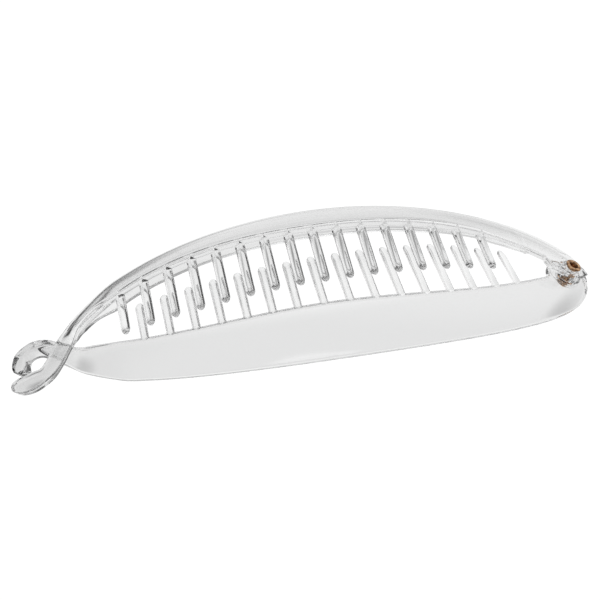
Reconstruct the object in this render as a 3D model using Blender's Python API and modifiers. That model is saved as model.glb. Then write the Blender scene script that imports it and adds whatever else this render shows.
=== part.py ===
"""Banana hair clip of clear plastic, closed and lying with its curved side up.

Two comb arms bow apart between a hinge and a clasp. Each arm is one moulding: a wide sloping band,
a row of teeth on its inner edge, a flat lug at the hinge end and a curled hook at the clasp end. The
far arm lies on top of the near arm at both ends, and only its band has a lip under the inner edge.
A hollow brass rivet holds the lugs together.

Metres, +Z up. X runs along the clip, from the clasp to the hinge. Y runs across it, from the near
arm to the far arm. The clip rests on Z = 0, and X = 0, Y = 0 is the middle of its outline.
"""
import math

import bmesh
import bpy
import numpy as np
from mathutils import Matrix, Vector

CLIP_NAME = "banana_hair_clip"

# Levels: an arm's heights are those of a middle level, half of LEVEL_STEP from its own
LEVEL_STEP = 0.0031
INNER_CROWN_Z = 0.02404
INNER_ARCH_RADIUS = 0.150
OUTER_CROWN_Z = 0.01754
OUTER_ARCH_RADIUS = 0.190
OUTER_ARCH_RADIUS_CLASP = 0.208

# Plan of one arm: the inner edge bows like a lens, and the outer edge is half an ellipse
INNER_BOW = 0.0119
INNER_HALF_LENGTH = 0.0635
INNER_CENTRE_X = 0.004
INNER_POWER = 3.3
OUTER_BOW = 0.0253
OUTER_HALF_LENGTH = 0.0682
OUTER_CENTRE_X = 0.0069

# Band
BAND_THICKNESS = 0.0018
BAND_BULGE = 0.0006
NEAR_END_BULGE = ((0.0520, 0.0006), (0.0670, 0.0011))
BAND_START_X = -0.048
BAND_SPACING = 0.0066
EDGE_ROUNDNESS = 0.45
FACE_POINTS = 5
STEPS_BETWEEN_STATIONS = 2

# Lip under the inner edge of the far arm's band
LIP_WIDTH = 0.0020
LIP_PROUD = 0.0003
LIP_SINK = 0.0013
LIP_CHAMFER = 0.0005
LIP_SPACING = 0.004
LIP_HEIGHTS = (
    # x, height below the band's top edge
    (-0.0572, 0.0034),
    (-0.0550, 0.0046),
    (-0.0460, 0.0057),
    (-0.0340, 0.0058),
    (-0.0120, 0.0051),
    (0.0140, 0.0046),
    (0.0340, 0.0043),
    (0.0480, 0.0032),
    (0.0610, 0.0027),
)

# Teeth: the pitch shrinks a little from the clasp to the hinge
TOOTH_COUNT = 16
TOOTH_PITCH = 0.0064
TOOTH_PITCH_SHRINK = 0.0000123
TOOTH_FIRST_X = {"near": -0.0404, "far": -0.0447}
TOOTH_TIPS = (
    # x, reach past the middle plane, drop of the tip's middle below the band's top edge
    (-0.0450, 0.0060, 0.0023),
    (-0.0250, 0.0064, 0.0026),
    (-0.0020, 0.0064, 0.0021),
    (0.0120, 0.0064, 0.0017),
    (0.0240, 0.0064, 0.0010),
    (0.0360, 0.0063, 0.0003),
    (0.0500, 0.0053, 0.0003),
)
TOOTH_ROOT_DEPTH = 0.0012
TOOTH_ROOT_DROP = {"near": 0.0006, "far": 0.0009}
NEAR_TOOTH_SLANTS = (
    # x, how far the root lies beyond the tip toward the hinge
    (-0.0020, 0.0),
    (0.0140, 0.0008),
    (0.0300, 0.0015),
    (0.0540, 0.0020),
)
TOOTH_ROOT_WIDTH = 0.0026
TOOTH_TIP_WIDTH = 0.0021
TOOTH_ROOT_HEIGHT = {"near": 0.0016, "far": 0.0022}
TOOTH_TIP_HEIGHT = 0.0016
TOOTH_SIDES = 8
TOOTH_TIP_ROWS = 3

# Hook: a flat bar that crosses the middle plane and curls back to it
HOOK_SPREAD = 5.0
HOOK_DROP = 0.0005
HOOK_PATHS = {
    # x, y of its middle line, half width, share of the band's cross slope, thickness
    "near": (
        (-0.0544, 0.0065, 0.0031, 1.00, 0.0024),
        (-0.0581, 0.0035, 0.0025, 0.60, 0.0022),
        (-0.0607, 0.0003, 0.0024, 0.10, 0.0022),
        (-0.0636, -0.0033, 0.00215, 0.0, 0.0026),
        (-0.0664, -0.0063, 0.0020, 0.0, 0.0031),
        (-0.0693, -0.0077, 0.0018, 0.0, 0.0036),
        (-0.0719, -0.0068, 0.0018, 0.0, 0.0036),
        (-0.0729, -0.0044, 0.0018, 0.0, 0.0036),
        (-0.0729, -0.0022, 0.0017, 0.0, 0.0036),
        (-0.0726, -0.0009, 0.0008, 0.0, 0.0036),
    ),
    "far": (
        (-0.0544, 0.0065, 0.0031, 1.00, 0.0022),
        (-0.0581, 0.0035, 0.0025, 0.60, 0.0020),
        (-0.0607, 0.0002, 0.0027, 0.10, 0.0020),
        (-0.0632, -0.0037, 0.0027, 0.0, 0.0021),
        (-0.0658, -0.0066, 0.0028, 0.0, 0.0023),
        (-0.0690, -0.0074, 0.0033, 0.0, 0.0024),
        (-0.0716, -0.0071, 0.0031, 0.0, 0.0024),
        (-0.0733, -0.0061, 0.0025, 0.0, 0.0024),
        (-0.0743, -0.0053, 0.0016, 0.0, 0.0024),
        (-0.0747, -0.0049, 0.0006, 0.0, 0.0024),
    ),
}

# Hinge: the rivet's axis leans toward +X, square to the lugs
HINGE_LEAN = math.radians(27.0)
HINGE_POINT = Vector((0.0699, 0.0, 0.00509))
HINGE_END_X = OUTER_CENTRE_X + OUTER_HALF_LENGTH
HINGE_TURN_X = 0.0645
HINGE_TURN_END_X = 0.0650
HINGE_STATIONS = (
    0.0600, 0.0622, 0.0637, 0.0644, 0.0648, 0.0652, 0.0660, 0.0675, 0.0695, 0.0717, 0.0734, 0.0744,
    0.0749,
)
LUG_RADIUS = 0.0037
LUG_OUTSIDE_RADIUS = 0.0029
TURN_RADIUS = 0.0034
LUG_THICKNESS = 0.0025
LUG_GAP = 0.0003
LAP_RADIUS = {"near": 0.0056, "far": 0.0066}
LAP_DEPTH = 0.006
SEAT_RADIUS = 0.0037
SEAT_SINK = 0.0001
HOLE_RADIUS = 0.0016

# Feet: the near arm is flat where its two ends stand on Z = 0
FLOOR_SIZE = (0.2, 0.1, 0.004)

# Rivet
SHANK_RADIUS = 0.0013
BORE_RADIUS = 0.0009
HEAD_RADIUS = 0.0021
HEAD_THICKNESS = 0.0005
MOUTH_FLARE = 0.0003
RIVET_GAP = 0.0003
RIM_POINTS = 5
ROUND_SIDES = 24


def clear_scene():
    for item in list(bpy.data.objects):
        bpy.data.objects.remove(item)


def new_collection(name):
    group = bpy.data.collections.new(name)
    bpy.context.scene.collection.children.link(group)
    return group


def plastic_material(name):
    material = bpy.data.materials.new(name)
    material.use_nodes = True
    shader = material.node_tree.nodes["Principled BSDF"]
    shader.inputs["Base Color"].default_value = (0.93, 0.94, 0.94, 1.0)
    shader.inputs["Roughness"].default_value = 0.06
    shader.inputs["Metallic"].default_value = 0.0
    shader.inputs["IOR"].default_value = 1.5
    shader.inputs["Transmission Weight"].default_value = 1.0
    return material


def brass_material(name):
    material = bpy.data.materials.new(name)
    material.use_nodes = True
    shader = material.node_tree.nodes["Principled BSDF"]
    shader.inputs["Base Color"].default_value = (0.62, 0.36, 0.16, 1.0)
    shader.inputs["Roughness"].default_value = 0.28
    shader.inputs["Metallic"].default_value = 1.0
    return material


def arch_height(x, crown, radius):
    """Height of an arch of the given radius whose crown is at x = 0."""
    return crown - radius + math.sqrt(radius * radius - x * x)


def inner_top_z(x):
    return arch_height(x, INNER_CROWN_Z, INNER_ARCH_RADIUS)


def outer_top_z(x):
    radius = OUTER_ARCH_RADIUS if x > 0.0 else OUTER_ARCH_RADIUS_CLASP
    return arch_height(x, OUTER_CROWN_Z, radius)


def lens_edge_y(x):
    """Distance from the middle plane of the edge of the lens between the arms."""
    along = abs(x - INNER_CENTRE_X) / INNER_HALF_LENGTH
    return INNER_BOW * (1.0 - along ** INNER_POWER)


def inner_edge_y(x):
    """Distance of the band's inner edge from the middle plane.

    At the hinge the edge leaves the lens and passes round the rivet.
    """
    reach = HINGE_POINT.x - HINGE_TURN_X if x < HINGE_POINT.x else HINGE_END_X - HINGE_POINT.x
    around = (x - HINGE_POINT.x) / reach
    loop = -TURN_RADIUS * math.sqrt(max(0.0, 1.0 - around * around))
    turn = min(1.0, max(0.0, (x - HINGE_TURN_X) / (HINGE_TURN_END_X - HINGE_TURN_X)))
    turn = turn * turn * (3.0 - 2.0 * turn)
    return (1.0 - turn) * lens_edge_y(x) + turn * loop


def outer_edge_y(x):
    """Distance of the band's outer edge from the middle plane."""
    along = (x - OUTER_CENTRE_X) / OUTER_HALF_LENGTH
    return OUTER_BOW * math.sqrt(max(0.0, 1.0 - along * along))


def on_side(point, side):
    """A point of the far arm's middle-level shape, moved to the arm on the given side.

    side is +1 for the far arm and -1 for the near arm. Past the crossing the hooks spread apart in
    height, so that they clear each other as the clip swings open.
    """
    crossed = min(point.y, 0.0) if point.x < 0.0 else 0.0
    level = 0.5 * LEVEL_STEP + HOOK_SPREAD * crossed * crossed
    return Vector((point.x, side * point.y, point.z + side * level))


def band_station(x):
    """Lens edge, outer edge and thickness of the band at x, and its share beyond the lens."""
    lens = Vector((x, lens_edge_y(x), inner_top_z(x)))
    outer = Vector((x, outer_edge_y(x), outer_top_z(x)))
    return lens, outer, BAND_THICKNESS, (lens.y - inner_edge_y(x)) / (outer.y - lens.y)


def hook_station(path, index):
    """The two edges and the thickness of the hook's bar, square to its path."""
    x, y, half_width, slope_share, thickness = path[index]
    before = path[max(0, index - 1)]
    after = path[min(len(path) - 1, index + 1)]
    across = Vector((after[1] - before[1], before[0] - after[0], 0.0)).normalized()
    inner = Vector((x, y, 0.0)) - across * half_width
    outer = Vector((x, y, 0.0)) + across * half_width
    inner_share = 0.5 + 0.5 * slope_share
    inner.z = inner_share * inner_top_z(inner.x) + (1.0 - inner_share) * outer_top_z(inner.x)
    outer.z = (1.0 - inner_share) * inner_top_z(outer.x) + inner_share * outer_top_z(outer.x)
    inner.z -= HOOK_DROP * (1.0 - slope_share)
    outer.z -= HOOK_DROP * (1.0 - slope_share)
    return inner, outer, thickness, 0.0


def arm_stations(side):
    """Stations along the whole arm, from the hook's tip to the hinge end."""
    path = HOOK_PATHS["far" if side > 0 else "near"]
    stations = [hook_station(path, index) for index in reversed(range(len(path)))]
    for x in np.arange(BAND_START_X, HINGE_STATIONS[0], BAND_SPACING):
        stations.append(band_station(float(x)))
    stations.extend(band_station(x) for x in HINGE_STATIONS)
    return stations


def spline(values, steps):
    """Smooth curve through the rows of values, with the given steps from row to row."""
    rows = np.array(values, dtype=float)
    padded = np.vstack([2.0 * rows[0] - rows[1], rows, 2.0 * rows[-1] - rows[-2]])
    points = []
    for index in range(len(rows) - 1):
        p0, p1, p2, p3 = padded[index:index + 4]
        for step in range(steps):
            t = step / steps
            bend = (2.0 * p0 - 5.0 * p1 + 4.0 * p2 - p3) * t * t
            twist = (3.0 * p1 - p0 - 3.0 * p2 + p3) * t * t * t
            points.append(0.5 * (2.0 * p1 + (p2 - p0) * t + bend + twist))
    points.append(rows[-1])
    return np.array(points)


def section_ring(inner, outer, down, thickness, flat_share, full_bulge):
    """Flat section with rounded edges and a slightly bulging top face."""
    across = outer - inner
    width = across.length
    across = across / width
    corner = min(EDGE_ROUNDNESS * thickness, 0.45 * width)
    bulge = full_bulge * min(1.0, (1.0 - flat_share) * width / OUTER_BOW * 2.0)
    ring = []
    fractions = [index / (FACE_POINTS - 1) for index in range(FACE_POINTS)]
    bulging = [max(0.0, (f - flat_share) / (1.0 - flat_share)) for f in fractions]
    rises = [bulge * 4.0 * f * (1.0 - f) for f in bulging]
    for f, rise in zip(fractions, rises):
        ring.append(inner + across * (corner + f * (width - 2.0 * corner)) - down * rise)
    shoulder = corner * (1.0 - math.sqrt(0.5))
    for reach, depth in ((width - shoulder, shoulder), (width, 0.5 * thickness),
                         (width - shoulder, thickness - shoulder)):
        ring.append(inner + across * reach + down * depth)
    for f, rise in zip(reversed(fractions), reversed(rises)):
        place = across * (corner + f * (width - 2.0 * corner))
        ring.append(inner + place + down * (thickness - rise))
    for reach, depth in ((shoulder, thickness - shoulder), (0.0, 0.5 * thickness),
                         (shoulder, shoulder)):
        ring.append(inner + across * reach + down * depth)
    return ring


def band_rings(side):
    """Section rings of the band and hook, along the whole arm."""
    rows = []
    for inner, outer, thickness, beyond in arm_stations(side):
        rows.append([*on_side(inner, side), *on_side(outer, side), thickness, beyond])
    rows = spline(rows, STEPS_BETWEEN_STATIONS)
    middles = 0.5 * (rows[:, 0:3] + rows[:, 3:6])
    tangents = np.gradient(middles, axis=0)
    rings = []
    for row, tangent in zip(rows, tangents):
        inner = Vector(row[0:3])
        outer = Vector(row[3:6])
        down = Vector(tangent).cross(outer - inner).normalized()
        if down.z > 0.0:
            down.negate()
        bulge = float(np.interp(inner.x, *zip(*NEAR_END_BULGE))) if side < 0 else BAND_BULGE
        flat_share = row[7] / (1.0 + row[7])
        inner += (inner - outer) * row[7]
        rings.append(section_ring(inner, outer, down, row[6], flat_share, bulge))
    return rings


def lip_height(x):
    places, heights = zip(*LIP_HEIGHTS)
    return float(np.interp(x, places, heights))


def lip_rings():
    """Sections of the far arm's lip: a bar under the band's inner edge, chamfered below."""
    first, last = LIP_HEIGHTS[0][0], LIP_HEIGHTS[-1][0]
    rings = []
    for x in np.linspace(first, last, 1 + round((last - first) / LIP_SPACING)):
        x = float(x)
        near_y = inner_edge_y(x) - LIP_PROUD
        far_y = near_y + LIP_WIDTH
        top = inner_top_z(x) - LIP_SINK
        bottom = inner_top_z(x) - lip_height(x)
        corners = (
            (near_y, top), (far_y, top), (far_y, bottom + LIP_CHAMFER),
            (far_y - LIP_CHAMFER, bottom), (near_y + LIP_CHAMFER, bottom),
            (near_y, bottom + LIP_CHAMFER),
        )
        rings.append([on_side(Vector((x, y, z)), 1) for y, z in corners])
    return rings


def tooth_x(index, side):
    first = TOOTH_FIRST_X["far" if side > 0 else "near"]
    return first + TOOTH_PITCH * index - TOOTH_PITCH_SHRINK * index * index


def tooth_tip(x):
    """Reach past the middle plane and drop of the tip of a tooth at x."""
    places, reaches, drops = zip(*TOOTH_TIPS)
    return float(np.interp(x, places, reaches)), float(np.interp(x, places, drops))


def tooth_slant(x, side):
    places, slants = zip(*NEAR_TOOTH_SLANTS)
    return float(np.interp(x, places, slants)) if side < 0 else 0.0


def tooth_rings(x, side):
    """Sections of one tooth, from its root inside the arm to its round tip."""
    arm = "far" if side > 0 else "near"
    root_x = x + tooth_slant(x, side)
    reach, drop = tooth_tip(x)
    root_y = inner_edge_y(root_x) + TOOTH_ROOT_DEPTH
    tip_y = -reach
    root_height = TOOTH_ROOT_HEIGHT[arm]
    root_middle = inner_top_z(root_x) - TOOTH_ROOT_DROP[arm] - 0.5 * root_height
    tip_middle = inner_top_z(x) - drop
    tilt = Matrix.Rotation(math.asin(x / INNER_ARCH_RADIUS), 3, "Y")
    length = root_y - tip_y
    rounding = 0.5 * TOOTH_TIP_WIDTH
    places = [(0.0, 1.0), (1.0 - rounding / length, 1.0)]
    for row in range(1, TOOTH_TIP_ROWS + 1):
        angle = 0.5 * math.pi * row / (TOOTH_TIP_ROWS + 0.4)
        places.append((1.0 - rounding / length * (1.0 - math.sin(angle)), math.cos(angle)))
    rings = []
    for along, scale in places:
        width = TOOTH_ROOT_WIDTH + along * (TOOTH_TIP_WIDTH - TOOTH_ROOT_WIDTH)
        height = root_height + along * (TOOTH_TIP_HEIGHT - root_height)
        y = root_y + along * (tip_y - root_y)
        z = root_middle + along * (tip_middle - root_middle)
        centre = Vector((root_x + along * (x - root_x), y, z))
        ring = []
        for step in range(TOOTH_SIDES):
            turn = 2.0 * math.pi * (step + 0.5) / TOOTH_SIDES
            offset = Vector((math.cos(turn) * width, 0.0, math.sin(turn) * height))
            offset *= 0.5 * scale / math.cos(math.pi / TOOTH_SIDES)
            ring.append(on_side(centre + tilt @ offset, side))
        rings.append(ring)
    return rings


def loft(name, rings, group):
    """Closed solid through section rings that all have the same number of points."""
    mesh = bpy.data.meshes.new(name)
    shape = bmesh.new()
    loops = [[shape.verts.new(point) for point in ring] for ring in rings]
    count = len(loops[0])
    for one, two in zip(loops, loops[1:]):
        for index in range(count):
            following = (index + 1) % count
            shape.faces.new((one[index], one[following], two[following], two[index]))
    shape.faces.new(loops[0])
    shape.faces.new(loops[-1])
    bmesh.ops.triangulate(shape, faces=shape.faces)
    bmesh.ops.recalc_face_normals(shape, faces=shape.faces)
    shape.to_mesh(mesh)
    shape.free()
    solid = bpy.data.objects.new(name, mesh)
    group.objects.link(solid)
    return solid


def hinge_cylinder(name, radius, low, high, group):
    """Cylinder about the rivet's axis, between two distances along it from the hinge point."""
    axis = Vector((math.sin(HINGE_LEAN), 0.0, math.cos(HINGE_LEAN)))
    bpy.ops.mesh.primitive_cylinder_add(
        vertices=ROUND_SIDES,
        radius=radius,
        depth=high - low,
        location=HINGE_POINT + axis * 0.5 * (low + high),
        rotation=(0.0, HINGE_LEAN, 0.0),
    )
    solid = bpy.context.object
    solid.name = name
    for owner in list(solid.users_collection):
        owner.objects.unlink(solid)
    group.objects.link(solid)
    return solid


def hinge_lug(name, side, group):
    """Lug of one arm, about the rivet's axis: narrower on its outside, where the head lies."""
    face = 0.5 * LUG_GAP * side
    back = face + LUG_THICKNESS * side
    low, high = sorted((-face, back))
    radii = (LUG_RADIUS, LUG_OUTSIDE_RADIUS) if side > 0 else (LUG_OUTSIDE_RADIUS, LUG_RADIUS)
    axis = Vector((math.sin(HINGE_LEAN), 0.0, math.cos(HINGE_LEAN)))
    bpy.ops.mesh.primitive_cone_add(
        vertices=ROUND_SIDES,
        radius1=radii[0],
        radius2=radii[1],
        depth=high - low,
        location=HINGE_POINT + axis * 0.5 * (low + high),
        rotation=(0.0, HINGE_LEAN, 0.0),
    )
    solid = bpy.context.object
    solid.name = name
    for owner in list(solid.users_collection):
        owner.objects.unlink(solid)
    group.objects.link(solid)
    return solid


def as_guide(item):
    item.hide_render = True
    item.display_type = "WIRE"


def add_boolean(target, name, operation, other):
    modifier = target.modifiers.new(name, "BOOLEAN")
    modifier.operation = operation
    modifier.solver = "EXACT"
    if isinstance(other, bpy.types.Collection):
        modifier.operand_type = "COLLECTION"
        modifier.collection = other
    else:
        modifier.object = other


def floor_block(name, group):
    """Block with its top on Z = 0."""
    bpy.ops.mesh.primitive_cube_add(size=1.0, location=(0.0, 0.0, -0.5 * FLOOR_SIZE[2]))
    solid = bpy.context.object
    solid.name = name
    solid.scale = FLOOR_SIZE
    for owner in list(solid.users_collection):
        owner.objects.unlink(solid)
    group.objects.link(solid)
    return solid


def add_comb_arm(name, side, group, cutters, material):
    """One moulding: band and hook, with lip, teeth and lug joined on and the hinge cut."""
    arm = loft(name, band_rings(side), group)
    arm.data.materials.append(material)
    additions = bpy.data.collections.new(name + "_additions")
    cutters.children.link(additions)
    if side > 0:
        as_guide(loft(name + "_lip", lip_rings(), additions))
    for index in range(TOOTH_COUNT):
        rings = tooth_rings(tooth_x(index, side), side)
        as_guide(loft(f"{name}_tooth_{index + 1:02d}", rings, additions))
    face = side * 0.5 * LUG_GAP
    back = face + side * LUG_THICKNESS
    lap = back - side * (LUG_THICKNESS + LAP_DEPTH)
    lug = hinge_lug(name + "_lug", side, additions)
    lap_radius = LAP_RADIUS["far" if side > 0 else "near"]
    room = hinge_cylinder(name + "_lap", lap_radius, min(face, lap), max(face, lap), cutters)
    hole = hinge_cylinder(name + "_hole", HOLE_RADIUS, -LAP_DEPTH, LAP_DEPTH, cutters)
    for guide in (lug, room, hole):
        as_guide(guide)
    add_boolean(arm, "join_parts", "UNION", additions)
    add_boolean(arm, "cut_lap", "DIFFERENCE", room)
    add_boolean(arm, "cut_hole", "DIFFERENCE", hole)
    return arm


def rivet_profile():
    """Half section of the hollow rivet, closed, down its outer side and up its bore."""
    lug_top = 0.5 * LUG_GAP + LUG_THICKNESS + RIVET_GAP
    rim = 0.5 * HEAD_THICKNESS
    upper = []
    for step in range(RIM_POINTS):
        turn = 0.5 * math.pi - math.pi * step / (RIM_POINTS - 1)
        reach = HEAD_RADIUS - rim + rim * math.cos(turn)
        upper.append((reach, lug_top + rim + rim * math.sin(turn)))
    head_top = lug_top + HEAD_THICKNESS
    profile = [(BORE_RADIUS + MOUTH_FLARE, head_top), *upper, (SHANK_RADIUS, lug_top)]
    profile += [(r, -z) for r, z in reversed(profile)]
    profile += [(BORE_RADIUS, -lug_top), (BORE_RADIUS, lug_top)]
    return profile


def add_rivet(name, group, material):
    mesh = bpy.data.meshes.new(name)
    points = [(r, 0.0, z) for r, z in rivet_profile()]
    edges = [(index, (index + 1) % len(points)) for index in range(len(points))]
    mesh.from_pydata(points, edges, [])
    mesh.materials.append(material)
    rivet = bpy.data.objects.new(name, mesh)
    rivet.location = HINGE_POINT
    rivet.rotation_euler = (0.0, HINGE_LEAN, 0.0)
    group.objects.link(rivet)
    screw = rivet.modifiers.new("turn", "SCREW")
    screw.axis = "Z"
    screw.steps = ROUND_SIDES
    screw.render_steps = ROUND_SIDES
    screw.use_merge_vertices = True
    screw.merge_threshold = 0.00001
    screw.use_smooth_shade = True
    return rivet


def add_hinge_empty(group):
    """The axis on which the far arm turns."""
    hinge = bpy.data.objects.new("hinge_axis", None)
    hinge.empty_display_size = 0.01
    hinge.location = HINGE_POINT
    hinge.rotation_euler = (0.0, HINGE_LEAN, 0.0)
    group.objects.link(hinge)
    return hinge


def main():
    clear_scene()
    group = new_collection(CLIP_NAME)
    cutters = new_collection("cutters")
    plastic = plastic_material("clear_plastic")
    brass = brass_material("brass")
    near_arm = add_comb_arm("near_comb_arm", -1, group, cutters, plastic)
    floor = floor_block("floor_cut", cutters)
    as_guide(floor)
    add_boolean(near_arm, "cut_feet", "DIFFERENCE", floor)
    far_arm = add_comb_arm("far_comb_arm", 1, group, cutters, plastic)
    seat_height = 0.5 * LUG_GAP + LUG_THICKNESS - SEAT_SINK
    seat = hinge_cylinder("head_seat", SEAT_RADIUS, seat_height, seat_height + LAP_DEPTH, cutters)
    as_guide(seat)
    add_boolean(far_arm, "cut_seat", "DIFFERENCE", seat)
    add_rivet("hinge_rivet", group, brass)
    hinge = add_hinge_empty(group)
    bpy.context.view_layer.update()
    far_arm.parent = hinge
    far_arm.matrix_parent_inverse = hinge.matrix_world.inverted()


main()
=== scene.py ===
"""Looks of the banana hair clip: two clear plastic comb arms and a copper-coloured eyelet.

The arms repeat the shape of the solids, only finer: rounded edges, teeth with a rounded tip (and
a ridge on the far arm), and the lip grown out of the band's section. Metres, +Z up.
"""

import math

import bmesh
import bpy
import numpy as np
from mathutils import Matrix, Vector


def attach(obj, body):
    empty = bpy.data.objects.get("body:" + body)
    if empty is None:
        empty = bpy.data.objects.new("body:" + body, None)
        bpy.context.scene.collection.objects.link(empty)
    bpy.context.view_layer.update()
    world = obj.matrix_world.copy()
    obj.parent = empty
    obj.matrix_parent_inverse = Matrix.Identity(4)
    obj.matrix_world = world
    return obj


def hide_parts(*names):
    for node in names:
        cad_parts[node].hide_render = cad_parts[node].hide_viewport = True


# Camera, as the photograph shows the clip
CAMERA_PLACE = (-0.047499, -0.347058, 0.363869)
CAMERA_RIGHT = (0.980635, -0.190809, -0.044129)
CAMERA_UP = (0.166574, 0.694115, 0.700327)
CAMERA_BACK = (-0.102998, -0.694115, 0.712457)
FOCAL_LENGTH_PX = 1965.0
PICTURE_SIDE_PX = 600.0
PICTURE_CENTRE_PX = (317.5, 310.0)
SENSOR_MM = 36.0
CAMERA_CLIP = (0.01, 20.0)

# Arms by the side of the clip that they lie on, +1 or -1 along Y
SIDE_NAMES = {1: "far", -1: "near"}

# Levels: an arm's heights are those of a middle level, half of LEVEL_STEP from its own
LEVEL_STEP = 0.0031
INNER_CROWN_Z = 0.02404
INNER_ARCH_RADIUS = 0.150
OUTER_CROWN_Z = 0.01754
OUTER_ARCH_RADIUS = 0.190
OUTER_ARCH_RADIUS_CLASP = 0.208

# Plan of one arm
INNER_BOW = 0.0119
INNER_HALF_LENGTH = 0.0635
INNER_CENTRE_X = 0.004
INNER_POWER = 3.3
OUTER_BOW = 0.0253
OUTER_HALF_LENGTH = 0.0682
OUTER_CENTRE_X = 0.0069

# Band
BAND_THICKNESS = 0.0018
BAND_BULGE = 0.0006
BULGE_FULL_WIDTH = 0.5 * OUTER_BOW
NEAR_END_BULGE = ((0.0520, 0.0006), (0.0670, 0.0011))
BAND_START_X = -0.048
BAND_SPACING = 0.0066
STEPS_BETWEEN_STATIONS = 8
INNER_EDGE_ROUND = 0.0004
EDGE_CHAMFER = 0.0003
EDGE_CHAMFER_SHARE = 0.3
WALL_LEAN = 0.3
WALL_STOPS = (0.42, 0.58)
OUTER_EDGE_ROUND = 0.0008
OUTER_EDGE_SHARE = 0.45
TOP_POINTS = 14
UNDER_POINTS = 12

# Rounded corners of a section: most of an edge that one takes up, and how far it fills its corner
CORNER_SHARE = 0.48
CORNER_FILL = 0.85
CORNER_POINTS = 6

# Lip under the band's inner edge
LIP_WIDTH = 0.0020
LIP_PROUD = (
    # x, how far the lip stands in front of the band's edge
    (-0.0480, 0.0004),
    (-0.0450, 0.0),
    (0.0505, 0.0),
    (0.0520, 0.0004),
)
LIP_FADE = 0.0010
LIP_SINK = 0.0013
LIP_LEAST_DROP = 0.2
LIP_ROUND = 0.00045
LIP_FOOT_ROUND = 0.0003
LEDGE_ROUNDS = (0.0001, 0.00015)
LIP_WALL_POINTS = 5
LIP_HEIGHTS = (
    # x, height below the band's top edge
    (-0.0592, 0.0020),
    (-0.0572, 0.0034),
    (-0.0550, 0.0046),
    (-0.0460, 0.0057),
    (-0.0340, 0.0058),
    (-0.0120, 0.0051),
    (0.0140, 0.0046),
    (0.0340, 0.0043),
    (0.0480, 0.0032),
    (0.0605, 0.0027),
    (0.0612, 0.0010),
)

# Teeth
TOOTH_COUNT = 16
TOOTH_PITCH = 0.0064
TOOTH_PITCH_SHRINK = 0.0000123
TOOTH_FIRST_X = {"near": -0.0404, "far": -0.0447}
TOOTH_TIPS = (
    # x, reach past the middle plane, drop of the tip's middle below the band's top edge
    (-0.0450, 0.0060, 0.0023),
    (-0.0250, 0.0064, 0.0026),
    (-0.0020, 0.0064, 0.0021),
    (0.0120, 0.0064, 0.0017),
    (0.0240, 0.0064, 0.0010),
    (0.0360, 0.0063, 0.0003),
    (0.0500, 0.0053, 0.0003),
)
TOOTH_ROOT_DEPTH = {"near": 0.0005, "far": 0.0007}
TOOTH_ROOT_DROP = {"near": 0.0002, "far": 0.0013}
RIDGE_HEIGHT = 0.0007
GABLE_HEIGHT = 0.0007
GABLE_LENGTH = 0.0022
GABLE_FALL = 1.5
NEAR_TOOTH_SLANTS = (
    # x, how far the root lies beyond the tip toward the hinge
    (-0.0020, 0.0),
    (0.0140, 0.0008),
    (0.0300, 0.0015),
    (0.0540, 0.0020),
)
TOOTH_ROOT_WIDTH = {"near": 0.0022, "far": 0.0026}
TOOTH_TIP_WIDTH = 0.0024
TOOTH_ROOT_HEIGHT = {"near": 0.0014, "far": 0.0014}
TOOTH_TIP_HEIGHT = 0.0012
TOOTH_SIDES = 32
TOOTH_BODY_ROWS = 10
TOOTH_TIP_ROWS = 9
TOOTH_TIP_ROUNDING = 0.0024
TOOTH_TIP_BLUNTNESS = 0.15
TOOTH_SQUARENESS = 1.7

# Hook
HOOK_SPREAD = 5.0
HOOK_DROP = 0.0005
HOOK_PATHS = {
    # x, y of its middle line, half width, share of the band's cross slope, thickness
    "near": (
        (-0.0544, 0.0065, 0.0031, 1.00, 0.0024),
        (-0.0581, 0.0035, 0.0025, 0.60, 0.0022),
        (-0.0607, 0.0003, 0.0024, 0.10, 0.0022),
        (-0.0636, -0.0033, 0.00215, 0.0, 0.0026),
        (-0.0664, -0.0063, 0.0020, 0.0, 0.0031),
        (-0.0693, -0.0077, 0.0018, 0.0, 0.0036),
        (-0.0719, -0.0068, 0.0018, 0.0, 0.0036),
        (-0.0729, -0.0044, 0.0018, 0.0, 0.0036),
        (-0.0729, -0.0022, 0.0017, 0.0, 0.0036),
        (-0.0726, -0.0009, 0.0008, 0.0, 0.0036),
    ),
    "far": (
        (-0.0544, 0.0065, 0.0031, 1.00, 0.0022),
        (-0.0581, 0.0035, 0.0025, 0.60, 0.0020),
        (-0.0607, 0.0002, 0.0027, 0.10, 0.0020),
        (-0.0632, -0.0037, 0.0027, 0.0, 0.0021),
        (-0.0658, -0.0066, 0.0028, 0.0, 0.0023),
        (-0.0690, -0.0074, 0.0033, 0.0, 0.0024),
        (-0.0716, -0.0071, 0.0031, 0.0, 0.0024),
        (-0.0733, -0.0061, 0.0025, 0.0, 0.0024),
        (-0.0743, -0.0053, 0.0016, 0.0, 0.0024),
        (-0.0747, -0.0049, 0.0006, 0.0, 0.0024),
    ),
}

# Hinge
HINGE_LEAN = math.radians(27.0)
HINGE_POINT = Vector((0.0699, 0.0, 0.00509))
HINGE_END_X = OUTER_CENTRE_X + OUTER_HALF_LENGTH
HINGE_TURN_X = 0.0645
HINGE_TURN_END_X = 0.0650
HINGE_STATIONS = (
    0.0600, 0.0622, 0.0637, 0.0644, 0.0648, 0.0652, 0.0660, 0.0675, 0.0695, 0.0717, 0.0734, 0.0744,
    0.0749,
)
LUG_RADIUS = 0.0037
LUG_OUTSIDE_RADIUS = 0.0029
LUG_ROUND = 0.0006
TURN_RADIUS = 0.0034
LUG_THICKNESS = 0.0025
LUG_GAP = 0.0003
LAP_RADIUS = {"near": 0.0056, "far": 0.0066}
LAP_DEPTH = 0.006
SEAT_RADIUS = 0.0037
SEAT_SINK = 0.0001
HOLE_RADIUS = 0.0016
ROUND_SIDES = 96

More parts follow.
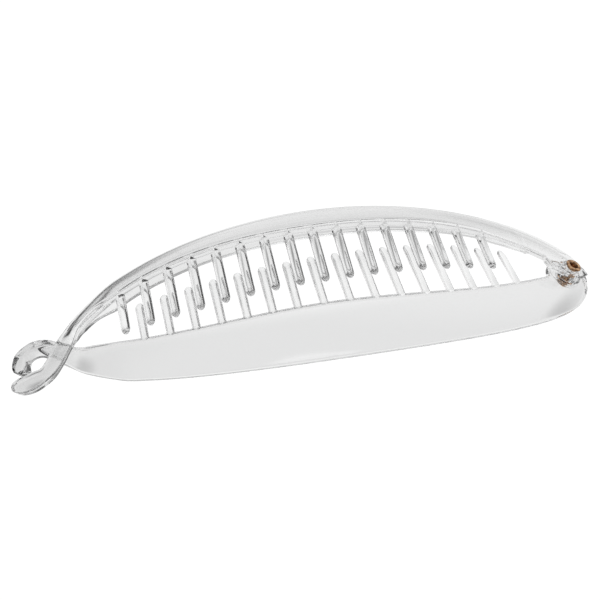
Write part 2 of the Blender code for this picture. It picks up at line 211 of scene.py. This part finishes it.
# Eyelet
SHANK_RADIUS = 0.0013
BORE_RADIUS = 0.0009
HEAD_RADIUS = 0.0021
HEAD_THICKNESS = 0.0005
MOUTH_FLARE = 0.0003
RIVET_GAP = 0.0003
RIM_POINTS = 12

# Meshes, with the block that cuts the flats that the near arm rests on
REST_BLOCK = (0.2, 0.1, 0.004)
MERGE_DISTANCE = 0.000002
ARM_SHARP_ANGLE = math.radians(38.0)
RIVET_SHARP_ANGLE = math.radians(40.0)

# Floor, which lights the plastic from below and is clear to the camera; its glow holds painted
# shadow and painted shade patches
FLOOR_SIZE = 6.0
FLOOR_GAP = 0.0003
# Painted shadow of the clip at the front of the floor's glow, going over to the lit tone behind it
FLOOR_PAINTED_SHADOW = 0.83
FLOOR_LIT = 0.96
FLOOR_LIT_FROM_Y = (0.004, 0.012)
# Painted darker back of the floor's glow, and a painted fade away from the clip
FLOOR_BACK = 0.84
FLOOR_BACK_FROM_Y = (0.014, 0.034)
FLOOR_FAR_SHARE = 0.80
FLOOR_FADE = (0.07, 0.26)
PAINTED_FLOOR_SHADES = (
    # painted shades in the floor's glow, seen as dark streaks through the plastic: middle x, middle
    # y, half length, half width, turn in degrees, depth
    (0.0160, 0.0330, 0.0300, 0.0075, -4.0, 0.60),
    (0.0420, 0.0280, 0.0220, 0.0075, -26.0, 0.60),
    (0.1150, 0.0850, 0.0800, 0.0600, 0.0, 0.45),
    (0.0650, -0.0080, 0.0130, 0.0038, 45.0, 0.28),
    (-0.0800, 0.0750, 0.0750, 0.0400, 0.0, 1.0),
    (-0.0674, -0.0019, 0.0055, 0.0026, 19.0, 0.65),
    (-0.0690, 0.0090, 0.0120, 0.0090, 0.0, 0.22),
    (-0.0560, 0.0015, 0.0030, 0.0050, 0.0, 0.24),
)
# Soft edge of each painted shade
SHADE_EDGE = (0.1, 1.0)

# Studio: the camera sees only the backdrop, which the Background node's own grey dims
BACKDROP_WHITE = 1.32
SKY_TOP = 0.62
SKY_RIM = 0.36
GROUND_LIGHT = 0.85
GROUND_RIM = -0.02
KEY_WAY = (0.50, 0.62, 0.60)
KEY_SPREAD = (0.55, 1.0)
KEY_LIGHT = 0.75
FLAG_WAY = (-0.80, 0.50, 0.16)
FLAG_SPREAD = (0.45, 0.95)
FLAG_SHARE = 0.95
FRONT_WAY = (0.0, -0.97, 0.20)
FRONT_SPREAD = (0.70, 1.0)
FRONT_SHARE = 0.80
LAMP_WAY = (0.05, -0.55, 0.83)
LAMP_SPREAD = (0.975, 0.992)
LAMP_LIGHT = 1.8
MAX_BOUNCES = 24
GLOSSY_BOUNCES = 12

# Materials, with their wear and flow marks
PLASTIC_COLOUR = (0.96, 0.962, 0.962, 1.0)
PLASTIC_IOR = 1.55
WAVE_SCALE = 55.0
WAVE_DETAIL = 1.0
WAVE_DEPTH = 0.00003
WAVE_STRETCH = (0.45, 1.0, 1.0)
SCUFF_SCALE = 420.0
SCUFF_DETAIL = 4.0
SCUFF_RANGE = (0.35, 0.70)
SCUFF_ROUGHNESS = (0.05, 0.10)
TARNISH_SCALE = 900.0
TARNISH_DETAIL = 3.0
TARNISH_RANGE = (0.35, 0.65)
TARNISH_COLOURS = ((0.68, 0.43, 0.25, 1.0), (0.24, 0.135, 0.075, 1.0))
TARNISH_ROUGHNESS = (0.16, 0.38)


def frame_view():
    camera = bpy.data.cameras.new("camera")
    camera.sensor_width = SENSOR_MM
    camera.lens = SENSOR_MM * FOCAL_LENGTH_PX / PICTURE_SIDE_PX
    camera.shift_x = (0.5 * PICTURE_SIDE_PX - PICTURE_CENTRE_PX[0]) / PICTURE_SIDE_PX
    camera.shift_y = (PICTURE_CENTRE_PX[1] - 0.5 * PICTURE_SIDE_PX) / PICTURE_SIDE_PX
    camera.clip_start = CAMERA_CLIP[0]
    camera.clip_end = CAMERA_CLIP[1]
    item = bpy.data.objects.new("camera", camera)
    bpy.context.scene.collection.objects.link(item)
    turn = Matrix((CAMERA_RIGHT, CAMERA_UP, CAMERA_BACK)).transposed()
    item.matrix_world = Matrix.Translation(CAMERA_PLACE) @ turn.to_4x4()
    bpy.context.scene.camera = item


def value_at(x, table):
    """Value at x in a table of (x, value) rows, with its first and last ones kept beyond them."""
    places, values = zip(*table)
    return float(np.interp(x, places, values))


def arch_height(x, crown, radius):
    return crown - radius + math.sqrt(radius * radius - x * x)


def inner_top_z(x):
    return arch_height(x, INNER_CROWN_Z, INNER_ARCH_RADIUS)


def outer_top_z(x):
    radius = OUTER_ARCH_RADIUS if x > 0.0 else OUTER_ARCH_RADIUS_CLASP
    return arch_height(x, OUTER_CROWN_Z, radius)


def lens_edge_y(x):
    along = abs(x - INNER_CENTRE_X) / INNER_HALF_LENGTH
    return INNER_BOW * (1.0 - along ** INNER_POWER)


def inner_edge_y(x):
    reach = HINGE_POINT.x - HINGE_TURN_X if x < HINGE_POINT.x else HINGE_END_X - HINGE_POINT.x
    around = (x - HINGE_POINT.x) / reach
    loop = -TURN_RADIUS * math.sqrt(max(0.0, 1.0 - around * around))
    turn = min(1.0, max(0.0, (x - HINGE_TURN_X) / (HINGE_TURN_END_X - HINGE_TURN_X)))
    turn = turn * turn * (3.0 - 2.0 * turn)
    return (1.0 - turn) * lens_edge_y(x) + turn * loop


def outer_edge_y(x):
    along = (x - OUTER_CENTRE_X) / OUTER_HALF_LENGTH
    return OUTER_BOW * math.sqrt(max(0.0, 1.0 - along * along))


def on_side(point, side):
    """side is +1 for the far arm and -1 for the near arm."""
    crossed = min(point.y, 0.0) if point.x < 0.0 else 0.0
    level = 0.5 * LEVEL_STEP + HOOK_SPREAD * crossed * crossed
    return Vector((point.x, side * point.y, point.z + side * level))


def band_station(x):
    lens = Vector((x, lens_edge_y(x), inner_top_z(x)))
    outer = Vector((x, outer_edge_y(x), outer_top_z(x)))
    return lens, outer, BAND_THICKNESS, (lens.y - inner_edge_y(x)) / (outer.y - lens.y)


def hook_station(path, index):
    x, y, half_width, slope_share, thickness = path[index]
    before = path[max(0, index - 1)]
    after = path[min(len(path) - 1, index + 1)]
    across = Vector((after[1] - before[1], before[0] - after[0], 0.0)).normalized()
    inner = Vector((x, y, 0.0)) - across * half_width
    outer = Vector((x, y, 0.0)) + across * half_width
    inner_share = 0.5 + 0.5 * slope_share
    inner.z = inner_share * inner_top_z(inner.x) + (1.0 - inner_share) * outer_top_z(inner.x)
    outer.z = (1.0 - inner_share) * inner_top_z(outer.x) + inner_share * outer_top_z(outer.x)
    inner.z -= HOOK_DROP * (1.0 - slope_share)
    outer.z -= HOOK_DROP * (1.0 - slope_share)
    return inner, outer, thickness, 0.0


def arm_stations(side):
    path = HOOK_PATHS[SIDE_NAMES[side]]
    stations = [hook_station(path, index) for index in reversed(range(len(path)))]
    for x in np.arange(BAND_START_X, HINGE_STATIONS[0], BAND_SPACING):
        stations.append(band_station(float(x)))
    stations.extend(band_station(x) for x in HINGE_STATIONS)
    return stations


def spline(values, steps):
    """Smooth curve through the rows of values, with the given steps from row to row."""
    rows = np.array(values, dtype=float)
    padded = np.vstack([2.0 * rows[0] - rows[1], rows, 2.0 * rows[-1] - rows[-2]])
    points = []
    for index in range(len(rows) - 1):
        p0, p1, p2, p3 = padded[index:index + 4]
        for step in range(steps):
            t = step / steps
            bend = (2.0 * p0 - 5.0 * p1 + 4.0 * p2 - p3) * t * t
            twist = (3.0 * p1 - p0 - 3.0 * p2 + p3) * t * t * t
            points.append(0.5 * (2.0 * p1 + (p2 - p0) * t + bend + twist))
    points.append(rows[-1])
    return np.array(points)


def lip_height(x):
    """Height of the lip below the band's top edge, and nothing beyond its two ends."""
    places, heights = zip(*LIP_HEIGHTS)
    return float(np.interp(x, places, heights, left=0.0, right=0.0))


def rounded(corners):
    """Closed outline through corners (point, radius, points on its edge to the next corner)."""
    outline = []
    count = len(corners)
    for index, (corner, radius, edge_points) in enumerate(corners):
        before = corners[index - 1][0] - corner
        after = corners[(index + 1) % count][0] - corner
        reach_before = min(radius, CORNER_SHARE * before.length)
        reach_after = min(radius, CORNER_SHARE * after.length)
        start = corner + before.normalized() * reach_before if before.length else corner
        end = corner + after.normalized() * reach_after if after.length else corner
        for step in range(CORNER_POINTS):
            t = step / (CORNER_POINTS - 1)
            weight = 2.0 * t * (1.0 - t) * CORNER_FILL
            share = 1.0 / (1.0 - 2.0 * t * (1.0 - t) + weight)
            outline.append((start * (1.0 - t) ** 2 + corner * weight + end * t * t) * share)
        following, next_radius = corners[(index + 1) % count][:2]
        next_reach = min(next_radius, CORNER_SHARE * after.length)
        stop = following - after.normalized() * next_reach if after.length else following
        for step in range(1, edge_points + 1):
            outline.append(end.lerp(stop, step / (edge_points + 1)))
    return outline


def section_ring(inner, outer, down, thickness, flat_share, full_bulge, lip_reach, proud):
    """Section of the band, with the far arm's lip under its inner edge, as points in space.

    It is drawn in two measures, across the band and down from its top, and the lip hangs plumb.
    """
    across = outer - inner
    width = across.length
    across = across / width
    plumb = Vector((0.0, 0.0, -1.0))
    way = Vector((max(0.0, plumb.dot(across)), max(LIP_LEAST_DROP, plumb.dot(down)))).normalized()
    out = Vector((way.y, -way.x))
    extra = max(0.0, lip_reach - thickness / way.y)
    presence = min(1.0, extra / LIP_FADE)
    edge = min(OUTER_EDGE_ROUND, OUTER_EDGE_SHARE * width)
    chamfer = min(EDGE_CHAMFER, EDGE_CHAMFER_SHARE * width)
    lean = WALL_LEAN * thickness
    low_inner = way * (thickness / way.y + extra) - out * proud
    low_outer = low_inner + out * LIP_WIDTH
    foot = low_outer - way * max(0.0, (low_outer.y - thickness) / way.y)
    ledge = way * LIP_SINK
    with_lip = (Vector((0.0, 0.0)), ledge, ledge - out * proud, low_inner, low_outer, foot)
    plain = (
        Vector((0.0, 0.0)),
        *(Vector((stop * lean, stop * thickness)) for stop in WALL_STOPS),
        Vector((lean, thickness - chamfer)),
        Vector((lean + chamfer, thickness)),
        Vector((lean + 2.0 * chamfer, thickness)),
    )
    radii = (INNER_EDGE_ROUND, *LEDGE_ROUNDS, LIP_ROUND, LIP_ROUND, LIP_FOOT_ROUND)
    points = (2, 0, LIP_WALL_POINTS, 2, LIP_WALL_POINTS, UNDER_POINTS)
    corners = [
        (one.lerp(other, presence), radius, count)
        for one, other, radius, count in zip(plain, with_lip, radii, points)
    ]
    corners.append((Vector((width, thickness)), edge, 1))
    corners.append((Vector((width, 0.0)), edge, TOP_POINTS))
    bulge = full_bulge * min(1.0, (1.0 - flat_share) * width / BULGE_FULL_WIDTH)
    ring = []
    for place in rounded(corners):
        f = min(1.0, max(0.0, (place.x / width - flat_share) / (1.0 - flat_share)))
        rise = bulge * 4.0 * f * (1.0 - f)
        ring.append(inner + across * place.x + down * (place.y - rise))
    return ring


def band_rings(side):
    rows = []
    for inner, outer, thickness, beyond in arm_stations(side):
        rows.append([*on_side(inner, side), *on_side(outer, side), thickness, beyond])
    rows = spline(rows, STEPS_BETWEEN_STATIONS)
    middles = 0.5 * (rows[:, 0:3] + rows[:, 3:6])
    tangents = np.gradient(middles, axis=0)
    rings = []
    for row, tangent in zip(rows, tangents):
        inner = Vector(row[0:3])
        outer = Vector(row[3:6])
        tangent = Vector(tangent)
        slope = tangent.z / math.hypot(tangent.x, tangent.y)
        down = tangent.cross(outer - inner).normalized()
        if down.z > 0.0:
            down.negate()
        reach = lip_height(inner.x) / math.sqrt(1.0 + slope * slope) if side > 0 else 0.0
        proud = value_at(inner.x, LIP_PROUD)
        bulge = value_at(inner.x, NEAR_END_BULGE) if side < 0 else BAND_BULGE
        flat_share = row[7] / (1.0 + row[7])
        inner += (inner - outer) * row[7]
        rings.append(section_ring(inner, outer, down, row[6], flat_share, bulge, reach, proud))
    return rings


def tooth_x(index, side):
    first = TOOTH_FIRST_X[SIDE_NAMES[side]]
    return first + TOOTH_PITCH * index - TOOTH_PITCH_SHRINK * index * index


def tooth_tip(x):
    places, reaches, drops = zip(*TOOTH_TIPS)
    return float(np.interp(x, places, reaches)), float(np.interp(x, places, drops))


def tooth_rows(length):
    """Share of the tooth's length and scale of its section, row by row, closing round the tip."""
    tip = TOOTH_TIP_ROUNDING / length
    rows = [(step / TOOTH_BODY_ROWS * (1.0 - tip), 1.0) for step in range(TOOTH_BODY_ROWS + 1)]
    for row in range(1, TOOTH_TIP_ROWS + 1):
        angle = 0.5 * math.pi * row / (TOOTH_TIP_ROWS + TOOTH_TIP_BLUNTNESS)
        rows.append((1.0 - tip * (1.0 - math.sin(angle)), math.cos(angle)))
    return rows


def tooth_section(width, height, gable):
    """Oval section that may be squarish, with a gable of the given height on its top."""
    power = 2.0 / TOOTH_SQUARENESS
    section = []
    for step in range(TOOTH_SIDES):
        turn = 2.0 * math.pi * step / TOOTH_SIDES
        c, s = math.cos(turn), math.sin(turn)
        aside = math.copysign(abs(c) ** power, c)
        above = math.copysign(abs(s) ** power, s) * 0.5 * height
        if s > 0.0:
            above += gable * (1.0 - abs(aside))
        section.append(Vector((aside * 0.5 * width, 0.0, above)))
    return section


def tooth_rings(x, side):
    arm = SIDE_NAMES[side]
    root_x = x + (value_at(x, NEAR_TOOTH_SLANTS) if side < 0 else 0.0)
    reach, drop = tooth_tip(x)
    root_y = inner_edge_y(root_x) + TOOTH_ROOT_DEPTH[arm]
    root_width = TOOTH_ROOT_WIDTH[arm]
    root_height = TOOTH_ROOT_HEIGHT[arm]
    root_middle = inner_top_z(root_x) - TOOTH_ROOT_DROP[arm] - 0.5 * root_height
    tip_y = -reach
    tip_middle = inner_top_z(x) - drop
    tilt = Matrix.Rotation(math.asin(x / INNER_ARCH_RADIUS), 3, "Y")
    length = root_y - tip_y
    rings = []
    for along, scale in tooth_rows(length):
        centre = Vector((
            root_x + along * (x - root_x),
            root_y + along * (tip_y - root_y),
            root_middle + along * (tip_middle - root_middle),
        ))
        width = root_width + along * (TOOTH_TIP_WIDTH - root_width)
        height = root_height + along * (TOOTH_TIP_HEIGHT - root_height)
        fade = min(1.0, along * length / GABLE_LENGTH)
        gable = RIDGE_HEIGHT + GABLE_HEIGHT * (1.0 - fade) ** GABLE_FALL if side > 0 else 0.0
        section = tooth_section(width, height, gable)
        rings.append([on_side(centre + tilt @ (offset * scale), side) for offset in section])
    return rings


def bridge(shape, one, two):
    """Faces between two closed loops with the same number of vertices."""
    for index in range(len(one)):
        following = (index + 1) % len(one)
        shape.faces.new((one[index], one[following], two[following], two[index]))


def mesh_object(name, shape):
    bmesh.ops.recalc_face_normals(shape, faces=shape.faces)
    mesh = bpy.data.meshes.new(name)
    shape.to_mesh(mesh)
    shape.free()
    item = bpy.data.objects.new(name, mesh)
    bpy.context.scene.collection.objects.link(item)
    return item


def loft(name, bundles):
    """One mesh of closed tubes, each through rings with the same number of points."""
    shape = bmesh.new()
    for rings in bundles:
        loops = [[shape.verts.new(point) for point in ring] for ring in rings]
        for one, two in zip(loops, loops[1:]):
            bridge(shape, one, two)
        shape.faces.new(loops[0])
        shape.faces.new(loops[-1])
    bmesh.ops.remove_doubles(shape, verts=shape.verts, dist=MERGE_DISTANCE)
    return mesh_object(name, shape)


def lathe(name, profile, closed=False):
    """Mesh turned about the rivet's axis from (radius, distance along it) points."""
    turn = Matrix.Translation(HINGE_POINT) @ Matrix.Rotation(HINGE_LEAN, 4, "Y")
    shape = bmesh.new()
    loops = []
    for radius, height in profile:
        ring = []
        for step in range(ROUND_SIDES):
            angle = 2.0 * math.pi * step / ROUND_SIDES
            point = Vector((radius * math.cos(angle), radius * math.sin(angle), height))
            ring.append(shape.verts.new(turn @ point))
        loops.append(ring)
    pairs = list(zip(loops, loops[1:]))
    if closed:
        pairs.append((loops[-1], loops[0]))
    else:
        shape.faces.new(loops[0])
        shape.faces.new(loops[-1])
    for one, two in pairs:
        bridge(shape, one, two)
    return mesh_object(name, shape)


def cylinder(name, radius, start, end):
    """Cylinder on the rivet's axis between two distances along it."""
    return lathe(name, [(radius, start), (radius, end)])


def combine(target, operation, other):
    modifier = target.modifiers.new(operation.lower(), "BOOLEAN")
    modifier.operation = operation
    modifier.solver = "EXACT"
    modifier.object = other
    graph = bpy.context.evaluated_depsgraph_get()
    mesh = bpy.data.meshes.new_from_object(target.evaluated_get(graph))
    target.modifiers.clear()
    target.data = mesh
    bpy.data.objects.remove(other)


def rest_block():
    """Block under the plane that the clip rests on."""
    bpy.ops.mesh.primitive_cube_add(size=1.0, location=(0.0, 0.0, -0.5 * REST_BLOCK[2]))
    block = bpy.context.object
    block.scale = REST_BLOCK
    bpy.context.view_layer.update()
    return block


def finish_piece(piece, material, sharp_angle):
    piece.data.materials.clear()
    piece.data.materials.append(material)
    piece.data.shade_smooth()
    piece.data.set_sharp_from_angle(angle=sharp_angle)


def lug_profile(side):
    face = -side * 0.5 * LUG_GAP
    back = side * (0.5 * LUG_GAP + LUG_THICKNESS)
    profile = [(LUG_RADIUS, face)]
    for step in range(RIM_POINTS):
        turn = 0.5 * math.pi * step / (RIM_POINTS - 1)
        reach = LUG_OUTSIDE_RADIUS - LUG_ROUND + LUG_ROUND * math.cos(turn)
        profile.append((reach, back - side * LUG_ROUND * (1.0 - math.sin(turn))))
    return profile


def add_comb_arm(name, side, material):
    face = side * 0.5 * LUG_GAP
    room_end = face - side * LAP_DEPTH
    seat_height = 0.5 * LUG_GAP + LUG_THICKNESS - SEAT_SINK
    teeth = [tooth_rings(tooth_x(index, side), side) for index in range(TOOTH_COUNT)]
    arm = loft(name, [band_rings(side)])
    combine(arm, "UNION", loft("teeth", teeth))
    combine(arm, "UNION", lathe("lug", lug_profile(side)))
    combine(arm, "DIFFERENCE", cylinder("room", LAP_RADIUS[SIDE_NAMES[side]], face, room_end))
    combine(arm, "DIFFERENCE", cylinder("hole", HOLE_RADIUS, -LAP_DEPTH, LAP_DEPTH))
    if side < 0:
        combine(arm, "DIFFERENCE", rest_block())
    else:
        seat = cylinder("seat", SEAT_RADIUS, seat_height, seat_height + LAP_DEPTH)
        combine(arm, "DIFFERENCE", seat)
    finish_piece(arm, material, ARM_SHARP_ANGLE)
    return arm


def rivet_profile():
    lug_top = 0.5 * LUG_GAP + LUG_THICKNESS + RIVET_GAP
    rim = 0.5 * HEAD_THICKNESS
    upper = []
    for step in range(RIM_POINTS):
        turn = 0.5 * math.pi - math.pi * step / (RIM_POINTS - 1)
        reach = HEAD_RADIUS - rim + rim * math.cos(turn)
        upper.append((reach, lug_top + rim + rim * math.sin(turn)))
    head_top = lug_top + HEAD_THICKNESS
    profile = [(BORE_RADIUS + MOUTH_FLARE, head_top), *upper, (SHANK_RADIUS, lug_top)]
    profile += [(r, -z) for r, z in reversed(profile)]
    profile += [(BORE_RADIUS, -lug_top), (BORE_RADIUS, lug_top)]
    return profile


def add_rivet(name, material):
    rivet = lathe(name, rivet_profile(), closed=True)
    finish_piece(rivet, material, RIVET_SHARP_ANGLE)
    return rivet


def new_material(name):
    material = bpy.data.materials.new(name)
    material.use_nodes = True
    return material, material.node_tree.nodes, material.node_tree.links


def calculate(nodes, links, operation, one, two):
    node = nodes.new("ShaderNodeMath")
    node.operation = operation
    links.new(one, node.inputs[0])
    links.new(two, node.inputs[1])
    return node.outputs[0]


def map_range(nodes, links, value, source, target):
    node = nodes.new("ShaderNodeMapRange")
    node.interpolation_type = "SMOOTHSTEP"
    node.inputs["From Min"].default_value = source[0]
    node.inputs["From Max"].default_value = source[1]
    node.inputs["To Min"].default_value = target[0]
    node.inputs["To Max"].default_value = target[1]
    links.new(value, node.inputs["Value"])
    return node.outputs[0]


def blend_colours(nodes, links, share, colours):
    """Mix of two colours. A Mix node's colour sockets are its inputs 6 and 7 and its output 2."""
    node = nodes.new("ShaderNodeMix")
    node.data_type = "RGBA"
    node.inputs[6].default_value = colours[0]
    node.inputs[7].default_value = colours[1]
    links.new(share, node.inputs["Factor"])
    return node.outputs[2]


def noise(nodes, links, scale, detail, stretch=(1.0, 1.0, 1.0)):
    """Noise from 0 to 1 in the object's own space."""
    place = nodes.new("ShaderNodeTexCoord")
    mapping = nodes.new("ShaderNodeMapping")
    mapping.inputs["Scale"].default_value = stretch
    texture = nodes.new("ShaderNodeTexNoise")
    texture.inputs["Scale"].default_value = scale
    texture.inputs["Detail"].default_value = detail
    links.new(place.outputs["Object"], mapping.inputs["Vector"])
    links.new(mapping.outputs["Vector"], texture.inputs["Vector"])
    return texture.outputs["Fac"]


def clear_plastic():
    material, nodes, links = new_material("clear_plastic")
    shader = nodes["Principled BSDF"]
    shader.inputs["Base Color"].default_value = PLASTIC_COLOUR
    shader.inputs["IOR"].default_value = PLASTIC_IOR
    shader.inputs["Transmission Weight"].default_value = 1.0
    scuffs = noise(nodes, links, SCUFF_SCALE, SCUFF_DETAIL)
    roughness = map_range(nodes, links, scuffs, SCUFF_RANGE, SCUFF_ROUGHNESS)
    links.new(roughness, shader.inputs["Roughness"])
    bump = nodes.new("ShaderNodeBump")
    bump.inputs["Strength"].default_value = 1.0
    bump.inputs["Distance"].default_value = WAVE_DEPTH
    waves = noise(nodes, links, WAVE_SCALE, WAVE_DETAIL, WAVE_STRETCH)
    links.new(waves, bump.inputs["Height"])
    links.new(bump.outputs["Normal"], shader.inputs["Normal"])
    return material


def eyelet_brass():
    material, nodes, links = new_material("eyelet_brass")
    shader = nodes["Principled BSDF"]
    shader.inputs["Metallic"].default_value = 1.0
    spots = noise(nodes, links, TARNISH_SCALE, TARNISH_DETAIL)
    tarnish = map_range(nodes, links, spots, TARNISH_RANGE, (0.0, 1.0))
    colour = blend_colours(nodes, links, tarnish, TARNISH_COLOURS)
    links.new(colour, shader.inputs["Base Color"])
    roughness = map_range(nodes, links, tarnish, (0.0, 1.0), TARNISH_ROUGHNESS)
    links.new(roughness, shader.inputs["Roughness"])
    return material


def length_of(nodes, links, vector):
    node = nodes.new("ShaderNodeVectorMath")
    node.operation = "LENGTH"
    links.new(vector, node.inputs[0])
    return node.outputs["Value"]


def painted_floor_shade(nodes, links, place, shade):
    """Share of the floor's glow that is left in one soft oval of painted shade, and 1 outside it.
    """
    x, y, half_length, half_width, turn, depth = shade
    mapping = nodes.new("ShaderNodeMapping")
    mapping.vector_type = "TEXTURE"
    mapping.inputs["Location"].default_value = (x, y, 0.0)
    mapping.inputs["Rotation"].default_value = (0.0, 0.0, math.radians(turn))
    mapping.inputs["Scale"].default_value = (half_length, half_width, 1.0)
    links.new(place, mapping.inputs["Vector"])
    distance = length_of(nodes, links, mapping.outputs["Vector"])
    return map_range(nodes, links, distance, SHADE_EDGE, (1.0 - depth, 1.0))


def painted_floor_light(nodes, links):
    """Strength of the floor's glow, with painted shade: a painted shadow at the front, a darker
    back, a fade outward and soft painted shades.
    """
    place = nodes.new("ShaderNodeTexCoord").outputs["Object"]
    split = nodes.new("ShaderNodeSeparateXYZ")
    links.new(place, split.inputs[0])
    y = split.outputs["Y"]
    # painted shadow at the front of the floor, lit tone behind it
    light = map_range(nodes, links, y, FLOOR_LIT_FROM_Y, (FLOOR_PAINTED_SHADOW, FLOOR_LIT))
    shares = [
        map_range(nodes, links, y, FLOOR_BACK_FROM_Y, (1.0, FLOOR_BACK / FLOOR_LIT)),
        map_range(nodes, links, length_of(nodes, links, place), FLOOR_FADE, (1.0, FLOOR_FAR_SHARE)),
    ]
    # soft patches of painted shade in the glow
    shares.extend(painted_floor_shade(nodes, links, place, shade) for shade in PAINTED_FLOOR_SHADES)
    for share in shares:
        light = calculate(nodes, links, "MULTIPLY", light, share)
    return light


def add_floor():
    bpy.ops.mesh.primitive_plane_add(size=FLOOR_SIZE, location=(0.0, 0.0, -FLOOR_GAP))
    floor = bpy.context.object
    floor.name = "floor"
    material, nodes, links = new_material("floor")
    nodes.clear()
    path = nodes.new("ShaderNodeLightPath")
    glow = nodes.new("ShaderNodeEmission")
    clear = nodes.new("ShaderNodeBsdfTransparent")
    either = nodes.new("ShaderNodeMixShader")
    output = nodes.new("ShaderNodeOutputMaterial")
    # the floor's glow carries the painted shadow and painted shades
    links.new(painted_floor_light(nodes, links), glow.inputs["Strength"])
    links.new(path.outputs["Is Camera Ray"], either.inputs[0])
    links.new(glow.outputs[0], either.inputs[1])
    links.new(clear.outputs[0], either.inputs[2])
    links.new(either.outputs[0], output.inputs["Surface"])
    floor.data.materials.append(material)


def lobe(nodes, links, place, way, spread, target):
    """Level that goes from the first target to the second as directions near the given way."""
    toward = nodes.new("ShaderNodeVectorMath")
    toward.operation = "DOT_PRODUCT"
    toward.inputs[1].default_value = Vector(way).normalized()
    links.new(place, toward.inputs[0])
    return map_range(nodes, links, toward.outputs["Value"], spread, target)


def studio_light(nodes, links):
    """Strength of the studio's light by direction."""
    place = nodes.new("ShaderNodeTexCoord").outputs["Generated"]
    split = nodes.new("ShaderNodeSeparateXYZ")
    links.new(place, split.inputs[0])
    sky = map_range(nodes, links, split.outputs["Z"], (0.0, 1.0), (SKY_RIM, SKY_TOP))
    key = lobe(nodes, links, place, KEY_WAY, KEY_SPREAD, (0.0, KEY_LIGHT))
    flag = lobe(nodes, links, place, FLAG_WAY, FLAG_SPREAD, (1.0, 1.0 - FLAG_SHARE))
    front = lobe(nodes, links, place, FRONT_WAY, FRONT_SPREAD, (1.0, 1.0 - FRONT_SHARE))
    level = calculate(nodes, links, "ADD", sky, key)
    level = calculate(nodes, links, "MULTIPLY", level, flag)
    level = calculate(nodes, links, "MULTIPLY", level, front)
    lamp = lobe(nodes, links, place, LAMP_WAY, LAMP_SPREAD, (0.0, LAMP_LIGHT))
    level = calculate(nodes, links, "ADD", level, lamp)
    ground = map_range(nodes, links, split.outputs["Z"], (GROUND_RIM, 0.0), (GROUND_LIGHT, 0.0))
    return calculate(nodes, links, "MAXIMUM", level, ground)


def light_world():
    world = bpy.data.worlds.new("studio")
    bpy.context.scene.world = world
    world.use_nodes = True
    nodes, links = world.node_tree.nodes, world.node_tree.links
    nodes.clear()
    path = nodes.new("ShaderNodeLightPath")
    seen = nodes.new("ShaderNodeMix")
    background = nodes.new("ShaderNodeBackground")
    output = nodes.new("ShaderNodeOutputWorld")
    seen.inputs["B"].default_value = BACKDROP_WHITE
    links.new(studio_light(nodes, links), seen.inputs["A"])
    links.new(path.outputs["Is Camera Ray"], seen.inputs["Factor"])
    links.new(seen.outputs["Result"], background.inputs["Strength"])
    links.new(background.outputs[0], output.inputs[0])


def main():
    scene = bpy.context.scene
    scene.view_settings.view_transform = "Standard"
    scene.cycles.max_bounces = MAX_BOUNCES
    scene.cycles.transmission_bounces = MAX_BOUNCES
    scene.cycles.glossy_bounces = GLOSSY_BOUNCES
    frame_view()
    add_floor()
    light_world()
    plastic = clear_plastic()
    near_arm = add_comb_arm("near_comb_arm_clear", -1, plastic)
    far_arm = add_comb_arm("far_comb_arm_clear", 1, plastic)
    rivet = add_rivet("hinge_eyelet", eyelet_brass())
    for piece, body, node, slot in (
        (near_arm, "near_arm", "near_comb_arm", "clear_plastic"),
        (far_arm, "far_arm", "far_comb_arm", "clear_plastic"),
        (rivet, "near_arm", "hinge_rivet", "brass"),
    ):
        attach(piece, body)
        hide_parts(node)


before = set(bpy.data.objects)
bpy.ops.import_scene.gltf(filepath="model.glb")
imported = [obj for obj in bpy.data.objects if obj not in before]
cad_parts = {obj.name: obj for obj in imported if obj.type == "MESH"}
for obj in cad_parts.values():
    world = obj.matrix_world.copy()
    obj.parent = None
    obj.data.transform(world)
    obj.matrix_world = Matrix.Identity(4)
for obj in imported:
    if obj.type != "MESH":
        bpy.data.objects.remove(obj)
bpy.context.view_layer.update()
main()
